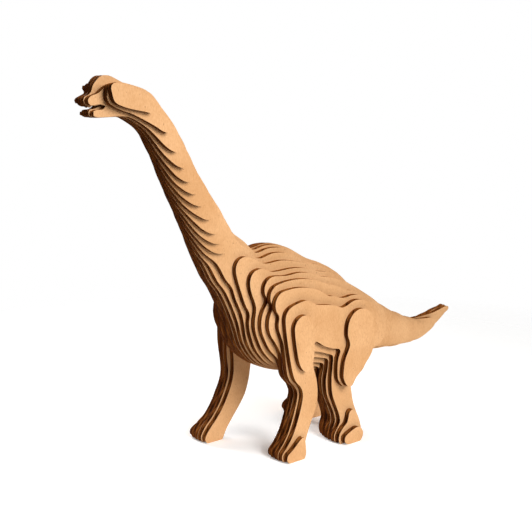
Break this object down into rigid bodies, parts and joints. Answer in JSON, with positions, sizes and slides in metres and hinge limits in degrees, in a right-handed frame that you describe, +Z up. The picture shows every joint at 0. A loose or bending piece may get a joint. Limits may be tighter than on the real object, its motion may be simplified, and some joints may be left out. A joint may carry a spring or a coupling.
{
  "type": "sliced dinosaur model",
  "caption": "Standing long-necked dinosaur stacked from upright laser-cut slices of corrugated board, pinned together by hidden wooden dowels.",
  "frame": {"origin": "middle of the bounding box, on the surface the feet stand on", "axes": "-X is the way the animal faces, +X is towards its tail, -Y is its left side, +Z is up; every slice lies across Y"},
  "size_m": [0.3672, 0.0996, 0.2473],
  "materials": {
    "board": "kraft corrugated board, matt face, laser-burnt edges",
    "dowel": "plain birch dowel"
  },
  "bodies": {
    "root": {"back_dowel": "dowel", "belly_dowel": "dowel", "body_slice_L01": "board", "body_slice_L02": "board", "body_slice_L03": "board", "body_slice_L04": "board", "body_slice_L05": "board", "body_slice_L06": "board", "body_slice_L07": "board", "body_slice_L08": "board", "body_slice_L09": "board", "body_slice_R01": "board", "body_slice_R02": "board", "body_slice_R03": "board", "body_slice_R04": "board", "body_slice_R05": "board", "body_slice_R06": "board", "body_slice_R07": "board", "body_slice_R08": "board", "body_slice_R09": "board", "body_slice_middle": "board", "chest_dowel": "dowel", "head_dowel": "dowel", "hip_dowel": "dowel", "jaw_slice_L11": "board", "jaw_slice_L12": "board", "left_ankle_slice_L09": "board", "left_arm_slice_L10": "board", "left_brow_slice_L14": "board", "left_elbow_dowel": "dowel", "left_foot_slice_L10": "board", "left_hand_slice_L10": "board", "left_knee_dowel": "dowel", "left_thigh_slice_L10": "board", "loin_dowel": "dowel", "lower_neck_dowel": "dowel", "middle_neck_dowel": "dowel", "neck_root_dowel": "dowel", "neck_slice_L04": "board", "neck_slice_L05": "board", "neck_slice_L06": "board", "neck_slice_L07": "board", "neck_slice_L08": "board", "neck_slice_L09": "board", "neck_slice_L10": "board", "right_ankle_slice_R09": "board", "right_arm_slice_R10": "board", "right_brow_slice_L07": "board", "right_elbow_dowel": "dowel", "right_foot_slice_R10": "board", "right_hand_slice_R10": "board", "right_knee_dowel": "dowel", "right_thigh_slice_R10": "board", "shoulder_dowel": "dowel", "skull_slice_L13": "board", "tail_dowel": "dowel", "tail_root_dowel": "dowel", "tail_slice_R04": "board", "upper_neck_dowel": "dowel"}
  },
  "joints": []
}
